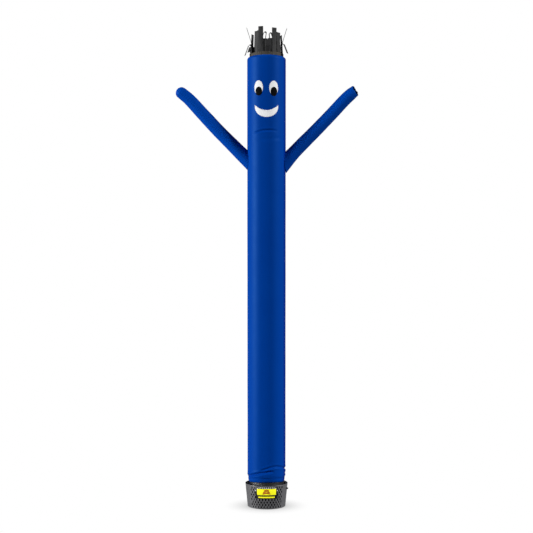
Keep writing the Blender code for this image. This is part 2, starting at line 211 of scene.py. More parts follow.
LEFT_ARM = (
    ArmRow(-0.150, 4.232, 0.180),
    ArmRow(-0.246, 4.328, 0.176),
    ArmRow(-0.412, 4.493, 0.168),
    ArmRow(-0.604, 4.686, 0.161),
    ArmRow(-0.779, 4.874, 0.158),
    ArmRow(-0.962, 5.072, 0.151),
    ArmRow(-1.061, 5.156, 0.146),
)
RIGHT_ARM = (
    ArmRow(0.150, 4.200, 0.204),
    ArmRow(0.240, 4.300, 0.186),
    ArmRow(0.330, 4.398, 0.168),
    ArmRow(0.440, 4.512, 0.163),
    ArmRow(0.625, 4.699, 0.158),
    ArmRow(0.809, 4.888, 0.155),
    ArmRow(0.974, 5.067, 0.154),
    ArmRow(1.050, 5.138, 0.152),
    ArmRow(1.112, 5.186, 0.136),
)
MOUTH_RISE = 28
MOUTH_TURN = 20
ARM_SIDES = 72
ARM_STEP = 0.010
ROOT_BLEND = 0.26  # the length over which an arm's rings turn square to it
ROOT_GAP = 1.0 * MM
ROOT_RIM_AT = 0.15  # how far along an arm its root's outline is taken from
HOLE_REACH = 0.24
HOLE_INSET = 8 * MM

EYES = {
    "left": Oval(-24.1, 5.190, 13.7, 0.089),
    "right": Oval(22.0, 5.185, 13.9, 0.090),
}
PUPILS = {
    "left": Oval(-23.4, 5.147, 10.5, 0.055),
    "right": Oval(22.4, 5.143, 10.5, 0.057),
}
SMILE_BEARING = 0.2
SMILE_HALF_ANGLE = 36.4
SMILE_TIP_Z = 4.974
SMILE_TIP_H = 10 * MM
SMILE_UPPER_DIP = 0.068
SMILE_LOWER_DIP = 0.142
PATCH_T = 1.4 * MM
PATCH_LIFT = 0.6 * MM
PUPIL_LIFT = 2.4 * MM

STREAMER_W = 0.065
STREAMER_T = 1.4 * MM
STREAMER_STEP = 0.006
OUTER_ROOT = 0.2045  # the row of streamers just inside the band
INNER_ROOT = 0.1850  # the two that bow in over the opening
ROOT_Z = TOP_Z + 3 * MM
ROOT_STRAIGHT = 0.045
LEAN_LENGTH = 0.030
FOLD_LENGTH = 0.050
HEM_END = 0.024  # the doubled hem at a streamer's free end
STREAMERS = (
    Streamer(-20.5, OUTER_ROOT, 0.350, -2, 4, 0.000, 0),
    Streamer(4, OUTER_ROOT, 0.320, 0, 4, 0.190, 150),
    Streamer(28.2, OUTER_ROOT, 0.335, -3, 6, 0.000, 0),
    Streamer(49, OUTER_ROOT, 0.285, -4, 4, 0.000, 0),
    Streamer(69, OUTER_ROOT, 0.305, -4, 0, 0.160, 162),
    Streamer(88.5, OUTER_ROOT, 0.365, -6, 4, 0.160, 20),
    Streamer(108, OUTER_ROOT, 0.285, -1, -4, 0.000, 0),
    Streamer(127.5, OUTER_ROOT, 0.150, -3, 0, 0.000, 0),
    Streamer(147, OUTER_ROOT, 0.350, -3, 6, 0.000, 0),
    Streamer(166, OUTER_ROOT, 0.280, -2, 0, 0.000, 0),
    Streamer(-174.5, OUTER_ROOT, 0.276, -2, 0, 0.000, 0),
    Streamer(-155, OUTER_ROOT, 0.375, -2, 4, 0.000, 0),
    Streamer(-135.5, OUTER_ROOT, 0.150, -3, 0, 0.000, 0),
    Streamer(-116, OUTER_ROOT, 0.300, -1, -3, 0.000, 0),
    Streamer(-96.5, OUTER_ROOT, 0.385, -9, 2, 0.170, 25),
    Streamer(-77, OUTER_ROOT, 0.305, -8, 0, 0.150, 168),
    Streamer(-58, OUTER_ROOT, 0.205, -5, 0, 0.115, 164),
    Streamer(-39.5, OUTER_ROOT, 0.300, -4, 2, 0.000, 0),
    Streamer(-82, INNER_ROOT, 0.480, -47, 42, 0.375, -178),
    Streamer(98, INNER_ROOT, 0.450, -41, 38, 0.350, -178),
)

# the drum's perforated wall: a chequer of cells, every other one a hole
WALL_COLUMNS = 80
WALL_ROWS = 9
WALL_LOW_Z = 0.010
WALL_T = 3 * MM
LIP_H = 9 * MM
HOLE_BAR = 1.3 * MM
HOLE_CORNER = 4.5 * MM
PANEL_HALF_ANGLE = 48  # the perforated panel, in front
LABEL_BACK_ANGLE = 33  # the plain dark film behind the label
LABEL_BACK_LOW_Z = 0.130
LABEL_R = 0.256  # the drum's radius at the label
LABEL_LIFT = 0.6 * MM
LABEL_T = 1.2 * MM
LABEL_HALF_ANGLE = 27.0
BAR_HALF_ANGLE = 23.5
DOTS = 13
DOT_HALF_ANGLE = 31.0
DOT_ARCH = 0.036  # how far the row of dots drops at its ends
RED_SLOT, WHITE_SLOT, FILM_SLOT = 1, 2, 3  # after the yellow, in the label's list of materials

CAMERA_PLACE = Vector((0, -14.5, 2.988))
CAMERA_LENS = 78.35

WORLD_LIGHT = 0.07
FLOOR_BOUNCE = 0.10
FLOOR_SHADE_REACH = 0.30

LIGHTS = (
    Light("key_left", -76, 6, 3.20, 16),
    Light("key_right", 71, 26, 2.55, 11),
    Light("arm_fill", -58, -2, 1.30, 10),
)


# ---------------------------------------------------------------- small helpers


def around(radius, bearing, z):
    a = math.radians(bearing)
    return Vector((radius * math.sin(a), -radius * math.cos(a), z))


def bearing_of(co):
    return math.degrees(math.atan2(co.x, -co.y))


def ease(t):
    t = min(1.0, max(0.0, t))
    return t * t * (3 - 2 * t)


def between(rows, at):
    """Reads a table of (place, value) rows at a place, in a smooth curve through the rows."""
    if at <= rows[0][0]:
        return rows[0][1]
    for i in range(len(rows) - 1):
        (x0, y0), (x1, y1) = rows[i], rows[i + 1]
        if at <= x1:
            xa, ya = rows[max(i - 1, 0)]
            xb, yb = rows[min(i + 2, len(rows) - 1)]
            width = x1 - x0
            slope0 = (y1 - ya) / (x1 - xa) * width
            slope1 = (yb - y0) / (xb - x0) * width
            t = (at - x0) / width
            start = (1 + 2 * t) * (1 - t) ** 2 * y0 + t * (1 - t) ** 2 * slope0
            return start + t * t * (3 - 2 * t) * y1 + t * t * (t - 1) * slope1
    return rows[-1][1]


def spun(profile, sides):
    """A surface of (radius, z) points spun round the upright axis. Ends on the axis close."""
    bm = bmesh.new()
    verts = [bm.verts.new((r, 0.0, z)) for r, z in profile]
    edges = [bm.edges.new(pair) for pair in zip(verts, verts[1:])]
    bmesh.ops.spin(
        bm,
        geom=verts + edges,
        axis=(0, 0, 1),
        cent=(0, 0, 0),
        angle=math.tau,
        steps=sides,
        use_merge=True,
    )
    bmesh.ops.remove_doubles(bm, verts=bm.verts, dist=0.01 * MM)
    face_out(bm)
    return bm


def face_out(bm):
    """Turns a surface round the upright axis so that its faces look away from the axis."""
    bmesh.ops.recalc_face_normals(bm, faces=bm.faces)
    out = 0.0
    for face in bm.faces:
        centre = face.calc_center_median()
        out += face.calc_area() * (face.normal.x * centre.x + face.normal.y * centre.y)
    if out < 0:
        bmesh.ops.reverse_faces(bm, faces=bm.faces)


def wrap_uv(bm, radius):
    """A UV map in metres for a surface round the upright axis: round it, and up it."""
    layer = bm.loops.layers.uv.new("cloth")
    for face in bm.faces:
        turns = [bearing_of(loop.vert.co) for loop in face.loops]
        crosses = max(turns) - min(turns) > 180
        for loop, turn in zip(face.loops, turns):
            if crosses and turn < 0:
                turn += 360
            loop[layer].uv = (math.radians(turn) * radius, loop.vert.co.z)


def sliced_cube(cuts):
    """A unit cube, cut across its length so that it can be bent."""
    bm = bmesh.new()
    bmesh.ops.create_cube(bm, size=1.0)
    long_edges = [e for e in bm.edges if abs(e.verts[0].co.x - e.verts[1].co.x) > 0.5]
    bmesh.ops.subdivide_edges(bm, edges=long_edges, cuts=cuts)
    return bm


def use_slot(bm, slot):
    for face in bm.faces:
        face.material_index = slot


def join_in(bm, other):
    """Adds another bmesh to bm, and frees it."""
    mesh = bpy.data.meshes.new("part")
    other.to_mesh(mesh)
    other.free()
    bm.from_mesh(mesh)
    bpy.data.meshes.remove(mesh)


def make_object(name, bm, materials, smooth_deg=40):
    mesh = bpy.data.meshes.new(name)
    bm.to_mesh(mesh)
    bm.free()
    mesh.shade_smooth()
    mesh.set_sharp_from_angle(angle=math.radians(smooth_deg))
    for mat in materials:
        mesh.materials.append(mat)
    obj = bpy.data.objects.new(name, mesh)
    bpy.context.scene.collection.objects.link(obj)
    return obj


def thicken(obj, thickness, offset=-1.0):
    """Gives a sheet its thickness, inwards unless told otherwise."""
    solid = obj.modifiers.new("thickness", "SOLIDIFY")
    solid.thickness = thickness
    solid.offset = offset
    solid.use_rim = True
    return solid


def settle(obj):
    """Applies an object's modifiers to its mesh."""
    bpy.context.view_layer.update()
    mesh = bpy.data.meshes.new_from_object(obj.evaluated_get(bpy.context.evaluated_depsgraph_get()))
    obj.modifiers.clear()
    obj.data = mesh


def fit(obj, slot, *nodes):
    """Puts a finished piece in the place of the nodes that it stands for."""
    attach(obj, "root")
    if nodes:
        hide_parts(*nodes)


# ---------------------------------------------------------------- materials


class Paint:
    """A material's Principled shader, with short calls for the nodes that feed it."""

    def __init__(self, name, roughness, metallic=0.0, specular=0.5):
        self.mat = bpy.data.materials.new(name)
        self.mat.use_nodes = True
        self.tree = self.mat.node_tree
        self.shader = self.tree.nodes["Principled BSDF"]
        self.shader.inputs["Roughness"].default_value = roughness
        self.shader.inputs["Metallic"].default_value = metallic
        self.shader.inputs["Specular IOR Level"].default_value = specular

    def node(self, kind, **values):
        made = self.tree.nodes.new(kind)
        for key, value in values.items():
            setattr(made, key, value)
        return made

    def link(self, out, into):
        self.tree.links.new(out, into)

    def place(self, source):
        """Coordinates: Object, or UV in metres."""
        return self.node("ShaderNodeTexCoord").outputs[source]

    def noise(self, source, scale, detail=3.0, roughness=0.5):
        made = self.node("ShaderNodeTexNoise")
        made.inputs["Scale"].default_value = scale
        made.inputs["Detail"].default_value = detail
        made.inputs["Roughness"].default_value = roughness
        self.link(source, made.inputs["Vector"])
        return made.outputs["Fac"]

    def wave(self, source, period, direction):
        """Bands of a sine, with one crest in each period."""
        made = self.node("ShaderNodeTexWave", bands_direction=direction)
        made.inputs["Scale"].default_value = math.tau / 20 / period
        made.inputs["Distortion"].default_value = 0.0
        self.link(source, made.inputs["Vector"])
        return made.outputs["Fac"]

    def math(self, operation, a, b):
        made = self.node("ShaderNodeMath", operation=operation)
        for socket, value in zip(made.inputs, (a, b)):
            if isinstance(value, (int, float)):
                socket.default_value = value
            else:
                self.link(value, socket)
        return made.outputs[0]

    def axis(self, source, name):
        made = self.node("ShaderNodeSeparateXYZ")
        self.link(source, made.inputs["Vector"])
        return made.outputs[name]

    def spread(self, source, low, high, from_low=0.0, from_high=1.0):
        """Stretches one range to another, and holds its ends."""
        made = self.node("ShaderNodeMapRange")
        made.inputs["From Min"].default_value = from_low
        made.inputs["From Max"].default_value = from_high
        made.inputs["To Min"].default_value = low
        made.inputs["To Max"].default_value = high
        self.link(source, made.inputs["Value"])
        return made.outputs["Result"]

    def blend(self, share, first, second):
        """A colour between two, by share."""
        made = self.node("ShaderNodeMix", data_type="RGBA")
        self.link(share, made.inputs[0])
        for socket, colour in ((made.inputs[6], first), (made.inputs[7], second)):
            if isinstance(colour, tuple):
                socket.default_value = (*colour, 1.0)
            else:
                self.link(colour, socket)
        return made.outputs[2]

    def colour(self, source):
        self.link(source, self.shader.inputs["Base Color"])

    def rough(self, source):
        self.link(source, self.shader.inputs["Roughness"])

    def bump(self, height, distance, before=None):
        made = self.node("ShaderNodeBump")
        made.inputs["Strength"].default_value = 1.0
        made.inputs["Distance"].default_value = distance
        self.link(height, made.inputs["Height"])
        if before is not None:
            self.link(before, made.inputs["Normal"])
        self.link(made.outputs["Normal"], self.shader.inputs["Normal"])
        return made.outputs["Normal"]


def weave_height(paint, source, period):
    """The height of a plain weave: threads that cross, one over the other."""
    along = paint.wave(source, period, "X")
    across = paint.wave(source, period, "Y")
    return paint.math("MAXIMUM", along, across)


def blue_nylon(name, shade):
    """Satin nylon, with a strip of painted shade down the tube's right side. The inside of a tube is the
    same cloth made darker, as painted shade.
    """
    paint = Paint(name, 0.46, specular=0.12)
    cloth = paint.place("UV")
    shader = paint.shader
    shader.inputs["Specular Tint"].default_value = (0.0, 0.45, 1.0, 1.0)
    shader.inputs["Sheen Weight"].default_value = 0.10
    shader.inputs["Sheen Roughness"].default_value = 0.4
    shader.inputs["Sheen Tint"].default_value = (0.0, 0.40, 1.0, 1.0)
    cloud = paint.noise(cloth, 1.7, 2.0)
    deep = (0.0, 0.050 * shade, 0.375 * shade)
    plain = paint.blend(cloud, deep, (0.0, 0.062 * shade, 0.420 * shade))
    round_tube = paint.axis(cloth, "X")
    # painted shade: the strip down the tube's right side is mixed towards a darker blue
    start, end = RIGHT_SIDE_PAINTED_SHADE
    strip = paint.math(
        "MULTIPLY",
        paint.spread(round_tube, 0.0, 1.0, start - 0.030, start + 0.020),
        paint.spread(round_tube, 1.0, 0.0, end - 0.010, end + 0.010),
    )
    paint.colour(paint.blend(strip, plain, (0.0, 0.020 * shade, 0.270 * shade)))
    paint.rough(paint.spread(paint.noise(cloth, 9.0), 0.40, 0.52))
    soft = paint.bump(paint.noise(cloth, 6.0, 2.0, 0.4), 2.0 * MM)
    paint.bump(weave_height(paint, cloth, 5 * MM), 0.04 * MM, soft)
    return paint.mat


def black_streamer_cloth():
    paint = Paint("black_streamer_cloth", 0.62, specular=0.35)
    cloth = paint.place("UV")
    paint.shader.inputs["Sheen Weight"].default_value = 0.10
    paint.shader.inputs["Sheen Roughness"].default_value = 0.5
    hem = paint.node("ShaderNodeAttribute", attribute_name="hem").outputs["Fac"]
    cloud = paint.noise(cloth, 22.0, 4.0)
    plain = paint.blend(cloud, (0.010, 0.010, 0.011), (0.026, 0.026, 0.027))
    paint.colour(paint.blend(hem, plain, (0.006, 0.006, 0.007)))
    soft = paint.bump(paint.noise(cloth, 34.0, 3.0), 1.2 * MM)
    paint.bump(weave_height(paint, cloth, 2.5 * MM), 0.10 * MM, soft)
    return paint.mat


def band_cloth():
    """The gathered band round the top: the same cloth, paler and browner where it is worn."""
    paint = Paint("band_cloth", 0.70, specular=0.3)
    cloth = paint.place("UV")
    cloud = paint.noise(cloth, 26.0, 4.0)
    paint.colour(paint.blend(cloud, (0.040, 0.034, 0.026), (0.110, 0.096, 0.076)))
    paint.bump(weave_height(paint, cloth, 2.5 * MM), 0.15 * MM)
    return paint.mat


def webbing():
    paint = Paint("strap_webbing", 0.42, specular=0.6)
    cloth = paint.place("UV")
    rib = paint.wave(cloth, 3 * MM, "Y")
    thread = paint.wave(cloth, 2 * MM, "X")
    paint.colour(paint.blend(thread, (0.012, 0.011, 0.011), (0.030, 0.027, 0.026)))
    paint.bump(paint.math("ADD", rib, thread), 0.25 * MM)
    return paint.mat


def patch_cloth(name, first, second, specular, painted_glow):
    """Patch cloth. The white has a painted glow: a little emission that makes it brighter than the lamps
    alone would.
    """
    paint = Paint(name, 0.60, specular=specular)
    cloth = paint.place("UV")
    paint.shader.inputs["Emission Color"].default_value = (0.97, 0.98, 1.0, 1.0)
    paint.shader.inputs["Emission Strength"].default_value = painted_glow
    paint.colour(paint.blend(paint.noise(cloth, 30.0), first, second))
    paint.bump(weave_height(paint, cloth, 2.5 * MM), 0.10 * MM)
    return paint.mat


def stitch_thread(name, colour):
    paint = Paint(name, 0.6, specular=0.3)
    place = paint.place("Object")
    darker = tuple(0.8 * part for part in colour)
    paint.colour(paint.blend(paint.noise(place, 400.0), darker, colour))
    paint.bump(paint.wave(place, 1 * MM, "DIAGONAL"), 0.10 * MM)
    return paint.mat


def drum_metal():
    """Dark satin coat on the drum, worn a little paler at random."""
    paint = Paint("drum_coat", 0.42, metallic=0.20, specular=0.5)
    place = paint.place("Object")
    cloud = paint.noise(place, 14.0, 4.0, 0.6)
    paint.colour(paint.blend(cloud, (0.130, 0.130, 0.138), (0.230, 0.230, 0.242)))
    paint.rough(paint.spread(paint.noise(place, 60.0, 3.0), 0.34, 0.50))
    paint.bump(paint.noise(place, 350.0, 2.0), 0.15 * MM)
    return paint.mat


def moulded(name, first, second, specular=0.5):
    """Moulded plastic or rubber, with a fine grain."""
    paint = Paint(name, 0.45, specular=specular)
    place = paint.place("Object")
    paint.colour(paint.blend(paint.noise(place, 20.0), first, second))
    paint.rough(paint.spread(paint.noise(place, 90.0), 0.38, 0.55))
    paint.bump(paint.noise(place, 500.0, 2.0), 0.10 * MM)
    return paint.mat


def dark_steel():
    paint = Paint("dark_steel", 0.42, metallic=1.0)
    place = paint.place("Object")
    paint.colour(paint.blend(paint.noise(place, 40.0), (0.030, 0.030, 0.033), (0.060, 0.060, 0.065)))
    paint.rough(paint.spread(paint.noise(place, 120.0), 0.34, 0.52))
    return paint.mat


def printed(name, first, second, painted_glow=0.0):
    """A printed plastic film, with a faint grain. The glow is painted light: emission in the film's own
    colour that brightens it.
    """
    paint = Paint(name, 0.38, specular=0.5)
    paint.shader.inputs["Emission Color"].default_value = (*second, 1.0)
    paint.shader.inputs["Emission Strength"].default_value = painted_glow
    place = paint.place("Object")
    paint.colour(paint.blend(paint.noise(place, 60.0), first, second))
    paint.rough(paint.spread(paint.noise(place, 200.0), 0.32, 0.46))
    return paint.mat


# ---------------------------------------------------------------- the cloth tube


def crease_offset(crease, bearing, z):
    """How far a crease moves the cloth out: a trough along its path, with a swell each side."""
    first, last = crease.path[0][0], crease.path[-1][0]
    if last > 180 and bearing < first:
        bearing += 360
    strength = ease(min(bearing - first, last - bearing) / crease.fade)
    if strength == 0.0:
        return 0.0
    t = (z - between(crease.path, bearing)) / crease.half_width
    trough = crease.depth * math.exp(-t * t)
    above = crease.above * math.exp(-((t - 2) ** 2))
    below = crease.below * math.exp(-((t + 1.9) ** 2))
    return strength * (above + below - trough)


def dent_offset(dent, bearing, z):
    across = (bearing - dent.bearing) / dent.reach_deg
    up = (z - dent.z) / dent.reach_z
    return -dent.depth * math.exp(-across * across - up * up)


def gather_offset(bearing, z):
    """Puckers where the strap gathers the hem. They die out above it."""
    reach = math.exp(-(((z - HEM_Z) / 0.030) ** 2))
    if reach < 0.01:
        return 0.0
    turn = math.radians(bearing)
    ripple = math.sin(34 * turn + 1.7 * math.sin(5 * turn)) + 0.5 * math.sin(53 * turn + 1.0)
    return 1.3 * MM * reach * ripple


def top_offset(bearing, z):
    """The top hem: a doubled edge with small uneven puckers."""
    below_top = TOP_Z - z
    doubled = 0.8 * MM * ease((0.034 - below_top) / 0.004)
    turn = math.radians(bearing)
    ripple = math.sin(27 * turn + 1.3 * math.sin(4 * turn)) * math.exp(-((below_top / 0.030) ** 2))
    return doubled + 0.8 * MM * ripple


def seam_offset(bearing):
    """The long felled seam down the tube's back."""
    apart = (180 - abs(bearing)) / 2.2
    return 1.2 * MM * math.exp(-apart**4)


FOOT_ROWS = [(HEM_Z + row.rise, TUBE_R - row.inset) for row in FOOT_PROFILE]
HEAD_ROWS = [(TOP_Z + row.rise, TUBE_R - row.inset) for row in HEAD_PROFILE]


def base_radius(z):
    """The tube's radius with no folds. The long stretch between its two ends is straight."""
    foot_end, head_start = FOOT_ROWS[-1], HEAD_ROWS[0]
    if z <= foot_end[0]:
        return between(FOOT_ROWS, z)
    if z >= head_start[0]:
        return between(HEAD_ROWS, z)
    share = (z - foot_end[0]) / (head_start[0] - foot_end[0])
    return foot_end[1] + (head_start[1] - foot_end[1]) * share


def tube_radius(bearing, z):
    radius = base_radius(z)
    if z < FOLDS_END_Z or CHIN_LOW_Z < z < CHIN_HIGH_Z:
        radius += sum(crease_offset(crease, bearing, z) for crease in CREASES)
    if z < FOLDS_END_Z:
        radius += sum(dent_offset(dent, bearing, z) for dent in DENTS)
        radius += gather_offset(bearing, z)
    if z > TOP_Z - TOP_HEM_REACH:
        radius += top_offset(bearing, z)
    turn = math.radians(bearing)
    billow = noise.noise(Vector((math.sin(turn), math.cos(turn), 1.6 * z)))
    return radius + seam_offset(bearing) + BILLOW * billow


def hem_rise(bearing):
    """The hem is highest in front, and level at the back."""
    return HEM_LIFT * ((1 + math.cos(math.radians(bearing))) / 2) ** 2


def span_levels(spans):
    levels = [spans[0].low_z]
    for span in spans:
        steps = max(1, round((span.high_z - span.low_z) / span.step))
        step = (span.high_z - span.low_z) / steps
        levels += [span.low_z + step * i for i in range(1, steps + 1)]
    return levels


def make_tube(nylon):
    bm = spun([(TUBE_R, z) for z in span_levels(TUBE_SPANS)], TUBE_SIDES)
    wrap_uv(bm, TUBE_R)
    for vert in bm.verts:
        bearing, z = bearing_of(vert.co), vert.co.z
        share = ease((HEM_LIFT_END_Z - z) / (HEM_LIFT_END_Z - HEM_Z))
        vert.co = around(tube_radius(bearing, z), bearing, z + share * hem_rise(bearing))
    tube = make_object("tube_cloth", bm, [nylon], 60)
    thicken(tube, CLOTH)
    for rows in (LEFT_ARM, RIGHT_ARM):
        cutter = arm_hole_cutter(rows)
        cut = tube.modifiers.new("arm_hole", "BOOLEAN")
        cut.operation = "DIFFERENCE"
        cut.solver = "EXACT"
        cut.object = cutter
    settle(tube)
    for obj in [o for o in bpy.data.objects if o.name.startswith("hole_cutter")]:
        bpy.data.objects.remove(obj)
    fit(tube, "blue_nylon", "tube")
    return tube


# ---------------------------------------------------------------- the arms


class ArmPath:
    """A smooth line through an arm's rows, read by the distance from its first row."""

    def __init__(self, rows):
        self.reach = [0.0]
        for a, b in zip(rows, rows[1:]):
            self.reach.append(self.reach[-1] + math.hypot(b.x - a.x, b.z - a.z))
        self.length = self.reach[-1]
        self.x = list(zip(self.reach, [row.x for row in rows]))
        self.z = list(zip(self.reach, [row.z for row in rows]))
        self.width = list(zip(self.reach, [row.width for row in rows]))

    def point(self, s):
        inside = min(s, self.length)
        beyond = max(0.0, s - self.length)
        place = Vector((between(self.x, inside), 0.0, between(self.z, inside)))
        return place + self.along(self.length) * beyond if beyond else place

    def along(self, s):
        a = max(0.0, min(s, self.length) - 5 * MM)
        b = min(self.length, a + 10 * MM)
        a = b - 10 * MM
        step = Vector((between(self.x, b) - between(self.x, a), 0, between(self.z, b) - between(self.z, a)))
        return step.normalized()

    def radius(self, s):
        return between(self.width, min(s, self.length)) / 2

    def place(self, local):
        """Bends a point of the straight tube onto the arm: local z is the distance along it."""
        along = self.along(local.z)
        front = Vector((0, -1, 0))
        side = along.cross(front)
        return self.point(local.z) + front * local.x + side * local.y


def arm_hole_cutter(rows):
    path = ArmPath(rows)
    profile = [(0.0, 0.0)]
    profile += [(path.radius(HOLE_REACH * i / 6) - HOLE_INSET, HOLE_REACH * i / 6) for i in range(7)]
    profile.append((0.0, HOLE_REACH))
    bm = spun(profile, 36)
    for vert in bm.verts:
        vert.co = path.place(vert.co)
    if bm.calc_volume(signed=True) < 0:
        bmesh.ops.reverse_faces(bm, faces=bm.faces)
    cutter = make_object("hole_cutter", bm, [])
    cutter.hide_render = True
    return cutter


def root_distance(path, x, y):
    """Where a line along the arm, x and y off its middle, comes out of the tube's surface."""
    low, high = 0.0, 0.40
    for _ in range(24):
        middle = (low + high) / 2
        place = path.place(Vector((x, y, middle)))
        surface = tube_radius(bearing_of(place), place.z) + ROOT_GAP
        if math.hypot(place.x, place.y) < surface:
            low = middle
        else:
            high = middle
    return high


def root_pucker(turn, s):
    """Gathers that run out from the root's seam along the arm, and the seam's own ridge."""
    gather = math.sin(15 * turn + 1.4 * math.sin(3 * turn)) + 0.6 * math.sin(23 * turn + 0.7)
    ridge = 1.5 * MM * math.exp(-((s / 0.007) ** 2))
    return ridge + 1.4 * MM * gather * math.exp(-(s / 0.060)) * ease(s / 0.010)


def arm_wrinkle(turn, s, seed):
    """Slack in the cloth: broad uneven swells, and a few folds across the arm."""
    broad = noise.noise(Vector((math.cos(turn), math.sin(turn), 3.2 * s + seed)))
    fine = noise.noise(Vector((1.5 * math.cos(turn), 1.5 * math.sin(turn), 14 * s + seed)))
    return 1.8 * MM * broad + 0.7 * MM * fine


def arm_seam(turn):
    """The arm's long seam, on its underside."""
    return 1.0 * MM * math.exp(-((((turn + math.pi / 2) % math.tau) - math.pi) / 0.07) ** 4)


def make_arm(name, rows, cloths, seed, shape_end, end_profile):
    path = ArmPath(rows)
    steps = round(path.length / ARM_STEP)
    profile = [(path.radius(path.length * i / steps), path.length * i / steps) for i in range(steps + 1)]
    bm = spun(profile + end_profile(path), ARM_SIDES)
    wrap_uv(bm, rows[-1].width / 2)
    starts = {}
    for vert in bm.verts:
        x, y, s = vert.co
        turn = math.atan2(y, x)
        radius = math.hypot(x, y)
        key = round(turn, 4)
        if key not in starts:
            rim = path.radius(ROOT_RIM_AT)
            starts[key] = root_distance(path, rim * math.cos(turn), rim * math.sin(turn))
        start = starts[key]
        run = start + s * (1 - start / ROOT_BLEND) if s < ROOT_BLEND else s
        end_share = ease((path.length + radius - s) / 0.10)
        swell = arm_wrinkle(turn, s, seed) * ease(radius / 0.05) + root_pucker(turn, run - start)
        radius = min(radius, path.radius(run)) + swell + arm_seam(turn) * end_share
        local = Vector((radius * math.cos(turn), radius * math.sin(turn), run))
        vert.co = path.place(shape_end(path, local, turn))
    arm = make_object(name, bm, cloths, 60)
    # the inner face of the cloth takes the second material: the painted shade of the inside
    thicken(arm, CLOTH).material_offset = 1
    settle(arm)
    return arm


def round_tip(path):
    """The rest of the profile past an arm's last row: a half-round end that closes on the axis."""
    radius, steps = path.radius(path.length), 14
    rows = []
    for i in range(1, steps + 1):
        a = math.radians(90 * i / steps)
        rows.append((radius * math.cos(a), path.length + radius * math.sin(a)))
    rows[-1] = (0.0, rows[-1][1])
    return rows


def gather_tip(path, local, turn):
    """Small puckers that run into the middle of the closed tip."""
    radius = math.hypot(local.x, local.y)
    past = local.z - path.length
    if past <= 0 or radius < 1 * MM:
        return local
    share = ease(past / 0.05) * ease(radius / 0.03)
    pull = 1 + 0.035 * share * math.sin(11 * turn + 0.8 * math.sin(2 * turn))
    return Vector((local.x * pull, local.y * pull, local.z))


def open_mouth(path, local, turn):
    """Turns the open end to look to the right and the front, and crumples its edge."""
    back = path.length - local.z
    share = ease(1 - back / 0.14)
    if share == 0.0:
        return local
    along = path.along(path.length)
    front = Vector((0, -1, 0))
    side = along.cross(front)
    looks = around(math.cos(math.radians(MOUTH_RISE)), 90 - MOUTH_TURN, math.sin(math.radians(MOUTH_RISE)))
    tilt = -(looks.dot(front) * local.x + looks.dot(side) * local.y) / looks.dot(along)
    edge = ease(1 - back / 0.05)
    crumple = 0.7 * math.sin(5 * turn + 0.6) + 0.5 * math.sin(9 * turn + 2.0) + 0.3 * math.sin(17 * turn)
    pull = 1 - edge * (0.05 * crumple + 0.02)
    doubled = 1 + 0.014 * ease(1 - (back - 0.016) / 0.004)
    run = local.z + share * tilt + edge * 4.0 * MM * crumple
    return Vector((local.x * pull * doubled, local.y * pull * doubled, run))


def make_arms(cloths):
    left = make_arm("arm_left_cloth", LEFT_ARM, cloths, 3.1, gather_tip, round_tip)
    fit(left, "blue_nylon", "arm_left")
    right = make_arm("arm_right_cloth", RIGHT_ARM, cloths, 8.4, open_mouth, lambda path: [])
    fit(right, "blue_nylon", "arm_right")
    return left, right


# ---------------------------------------------------------------- the face


def oval_outline(oval):
    def at(u):
        a = math.acos(max(-1.0, min(1.0, -0.994 * u)))
        half = oval.half_height * math.sin(a)
        return oval.bearing + oval.half_angle * u * 0.994, oval.z - half, oval.z + half

    return at


def smile_outline(u):
    """A crescent: both edges are bows that hang between its blunt tips."""
    hang = math.sqrt(max(0.0, 1 - (0.985 * u) ** 2))
    high = SMILE_TIP_Z + SMILE_TIP_H / 2 - SMILE_UPPER_DIP * (1 - u**2)
    low = SMILE_TIP_Z - SMILE_TIP_H / 2 - SMILE_LOWER_DIP * hang
    return SMILE_BEARING + SMILE_HALF_ANGLE * u, low, high


def rim_points(outline, inset, pitch):
    """Evenly spaced (bearing, z) points round an outline, a little inside it."""
    lower, upper = [], []
    steps = 160
    for i in range(steps + 1):
        bearing, low, high = outline(math.sin(math.pi * (i / steps - 0.5)))
        across = math.radians(bearing) * TUBE_R
        lower.append(Vector((across, low)))
        upper.append(Vector((across, high)))
    points = lower + list(reversed(upper))
    middle_line = []
    for i, point in enumerate(points):
        tangent = points[(i + 2) % len(points)] - points[i - 2]
        if tangent.length > 0:
            normal = Vector((-tangent.y, tangent.x)).normalized()
            middle_line.append(point + normal * inset)
    spaced, left = [], 0.0
    for a, b in zip(middle_line, middle_line[1:] + middle_line[:1]):
        step = (b - a).length
        while left < step:
            spaced.append((a.lerp(b, left / step), (b - a).normalized()))
            left += pitch
        left -= step
    return spaced


def stitch_row(bm, points, lift, size, slot):
    """Small rounded stitches laid along a row of points on the tube."""
    for point, along in points:
        made = bmesh.ops.create_cube(bm, size=1.0)["verts"]
        bearing = math.degrees(point.x / TUBE_R)
        z = point.y
        out = around(1.0, bearing, 0.0)
        across = around(1.0, bearing + 90, 0.0)
        run = across * along.x + Vector((0, 0, 1)) * along.y
        side = out.cross(run)
        turn = Matrix((run, side, out)).transposed().to_4x4()
        turn.translation = around(tube_radius(bearing, z) + lift, bearing, z)
        bmesh.ops.transform(bm, matrix=turn @ Matrix.Diagonal((*size, 1.0)), verts=made)
        for face in {f for v in made for f in v.link_faces}:
            face.material_index = slot


